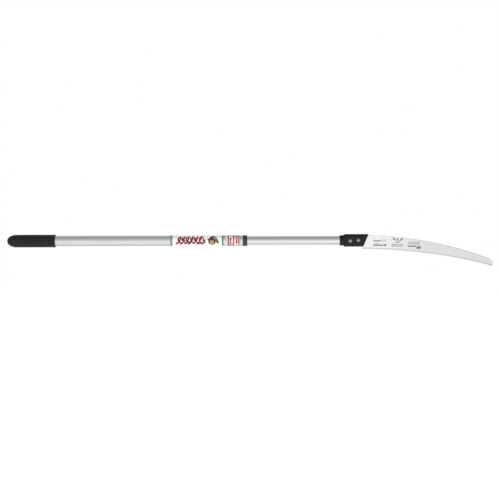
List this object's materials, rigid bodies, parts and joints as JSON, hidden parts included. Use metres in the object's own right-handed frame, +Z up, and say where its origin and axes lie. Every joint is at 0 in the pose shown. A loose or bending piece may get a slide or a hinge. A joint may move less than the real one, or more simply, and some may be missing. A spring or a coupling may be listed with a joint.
{
  "type": "telescoping pole saw",
  "caption": "Two-section telescopic aluminium pole with an inner twist lock, a domed soft grip and a long curved pruning saw blade bolted in a black two-shell holder.",
  "frame": {"origin": "on the pole's axis, at the middle of the grip's barrel, between its nose and its mouth", "axes": "+X along the pole towards the blade's tip, +Z up on the blade's spine side with the teeth pointing down, blade in the XZ plane"},
  "size_m": [1.3116, 0.0378, 0.0865],
  "materials": {
    "grip_vinyl": "satin moulded vinyl with fine lengthwise flutes",
    "plug_nylon": "moulded, hidden",
    "outer_aluminium": "drawn and anodised, satin",
    "collar_plastic": "moulded, low gloss",
    "label_film": "printed film",
    "badge_film": "printed film",
    "lock_nylon": "moulded, natural nylon",
    "pin_steel": "rolled spring steel",
    "lock_nylon_stud": "moulded, natural nylon",
    "nut_steel": "zinc plated",
    "sleeve_nylon": "moulded",
    "cone_nylon": "moulded",
    "ring_rubber": "plain",
    "inner_aluminium": "drawn and anodised, satin",
    "holder_plastic": "moulded glass-filled nylon, fine texture",
    "packer_nylon": "moulded, hidden",
    "blade_steel": "ground and satin nickel plated",
    "bolt_steel": "zinc plated",
    "washer_steel": "zinc plated",
    "insert_nylon": "moulded nylon"
  },
  "bodies": {
    "outer_pole": {"outer_tube": "outer_aluminium", "grip_sleeve": "grip_vinyl", "butt_plug": "plug_nylon", "mouth_collar": "collar_plastic", "main_label": "label_film", "badge_label": "badge_film"},
    "lock_carriage": {"expander_sleeve": "sleeve_nylon", "drag_ring": "ring_rubber"},
    "lock_cone": {"expander_cone": "cone_nylon"},
    "inner_pole": {"inner_tube": "inner_aluminium", "stud_plug": "lock_nylon", "plug_pin": "pin_steel", "lock_stud": "lock_nylon_stud", "stop_nut": "nut_steel", "holder_left": "holder_plastic", "holder_right": "holder_plastic", "packer_left": "packer_nylon", "packer_right": "packer_nylon", "saw_blade": "blade_steel", "blade_bolts": "bolt_steel", "flat_washers": "washer_steel", "lock_nuts": "nut_steel", "nut_inserts": "insert_nylon"}
  },
  "joints": [
    {"name": "telescope", "type": "slide", "parent": "outer_pole", "child": "lock_carriage", "axis": [1, 0, 0], "range_m": [-0.2475, 0.27]},
    {"name": "twist", "type": "hinge", "parent": "lock_carriage", "child": "inner_pole", "pos_m": [0.24, 0, 0], "axis": [1, 0, 0], "range_deg": [0, 180]},
    {"name": "cone_travel", "type": "slide", "parent": "lock_carriage", "child": "lock_cone", "axis": [1, 0, 0], "range_m": [-0.0016, 0]}
  ],
  "couplings": [
    {"joint": "cone_travel", "follows": "twist", "m_per_rad": -0.00047746}
  ]
}
